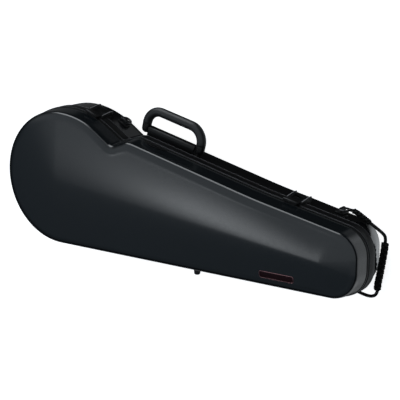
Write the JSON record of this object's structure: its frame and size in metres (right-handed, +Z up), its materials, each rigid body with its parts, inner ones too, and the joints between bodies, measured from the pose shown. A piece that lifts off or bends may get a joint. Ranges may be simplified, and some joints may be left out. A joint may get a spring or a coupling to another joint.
{
  "type": "violin case",
  "caption": "Shaped hard violin case with a crowned lid on a pin hinge, flap latches, swinging handle, strap rings, carry loop and fitted velvet inside.",
  "frame": {"origin": "under the middle of the closed case, on the plane of the back feet", "axes": "+X from the neck end to the body end, +Y from the handle side to the hinge side, +Z up out of the lid; the case lies on its back"},
  "size_m": [0.7914, 0.2881, 0.135],
  "materials": {
    "lid_gloss": "satin gloss",
    "base_gloss": "gloss",
    "black_plastic": "satin",
    "seal_rubber": "matt",
    "grip_rubber": "matt",
    "velvet": "velvet",
    "webbing": "woven",
    "plaited_cord": "plaited",
    "steel": "satin",
    "badge_metal": "satin"
  },
  "bodies": {
    "base": {"base_shell": "base_gloss", "base_rim": "black_plastic", "seam_gasket": "seal_rubber", "base_lining": "velvet", "neck_lining": "velvet", "end_lining": "velvet", "neck_cradle": "velvet", "neck_strap": "webbing", "rosin_hinge_pin": "steel", "handle_bracket": "black_plastic", "bracket_screws": "steel", "latch_plate_left": "black_plastic", "latch_plate_right": "black_plastic", "latch_pin_left": "steel", "latch_pin_right": "steel", "waist_ring_mount": "black_plastic", "end_ring_mount": "black_plastic", "neck_ring_mounts": "black_plastic", "neck_ring_upper": "steel", "neck_ring_lower": "steel", "carry_strap_upper": "plaited_cord", "carry_strap_grip": "plaited_cord", "carry_strap_lower": "plaited_cord", "carry_strap_wrap": "plaited_cord", "base_hinge_leaves": "black_plastic", "hinge_pins": "steel", "side_feet": "seal_rubber", "back_feet": "seal_rubber"},
    "lid": {"lid_shell": "lid_gloss", "lid_rim": "black_plastic", "lid_lining": "velvet", "lid_hinge_leaves": "black_plastic", "latch_keepers": "black_plastic", "lid_foot": "seal_rubber", "lid_thumb_lip": "black_plastic", "badge_plate": "badge_metal", "bow_posts": "black_plastic", "bow_tip_pocket": "velvet"},
    "handle": {"handle_grip": "grip_rubber", "handle_sleeves": "black_plastic"},
    "latch_left": {"latch_lever_left": "black_plastic"},
    "latch_right": {"latch_lever_right": "black_plastic"},
    "waist_ring": {"waist_ring": "steel"},
    "end_ring": {"end_ring": "steel"},
    "bow_spinner_left": {"bow_spinner_left": "black_plastic"},
    "bow_spinner_right": {"bow_spinner_right": "black_plastic"},
    "rosin_lid": {"rosin_lid": "velvet", "rosin_lid_tab": "webbing"}
  },
  "joints": [
    {"name": "lid_hinge", "type": "hinge", "parent": "base", "child": "lid", "pos_m": [-0.0101, 0.1372, 0.087], "axis": [-1, 0, 0], "range_deg": [0, 105]},
    {"name": "handle_swing", "type": "hinge", "parent": "base", "child": "handle", "pos_m": [0.03714, -0.08704, 0.054], "axis": [-0.9718, 0.2358, 0], "range_deg": [-70, 70]},
    {"name": "latch_left_flap", "type": "hinge", "parent": "base", "child": "latch_left", "pos_m": [0.19531, -0.12483, 0.056], "axis": [0.9332, -0.3593, 0], "range_deg": [0, 100]},
    {"name": "latch_right_flap", "type": "hinge", "parent": "base", "child": "latch_right", "pos_m": [-0.24006, -0.02053, 0.056], "axis": [0.9807, -0.1957, 0], "range_deg": [0, 100]},
    {"name": "waist_ring_swing", "type": "hinge", "parent": "base", "child": "waist_ring", "pos_m": [0.15896, -0.10538, 0.039], "axis": [-0.8705, 0.4921, 0], "range_deg": [-8, 150]},
    {"name": "end_ring_swing", "type": "hinge", "parent": "base", "child": "end_ring", "pos_m": [0.3883, 0.0022, 0.039], "axis": [0, -1, 0], "range_deg": [-8, 150]},
    {"name": "bow_spinner_left_turn", "type": "hinge", "parent": "lid", "child": "bow_spinner_left", "pos_m": [0.2879, 0.0212, 0.117], "axis": [0, 0, 1], "range_deg": [0, 90]},
    {"name": "bow_spinner_right_turn", "type": "hinge", "parent": "lid", "child": "bow_spinner_right", "pos_m": [0.2879, -0.0168, 0.117], "axis": [0, 0, 1], "range_deg": [0, 90]},
    {"name": "rosin_lid_hinge", "type": "hinge", "parent": "base", "child": "rosin_lid", "pos_m": [-0.2601, 0.0702, 0.0806], "axis": [0, 1, 0], "range_deg": [0, 80]}
  ]
}
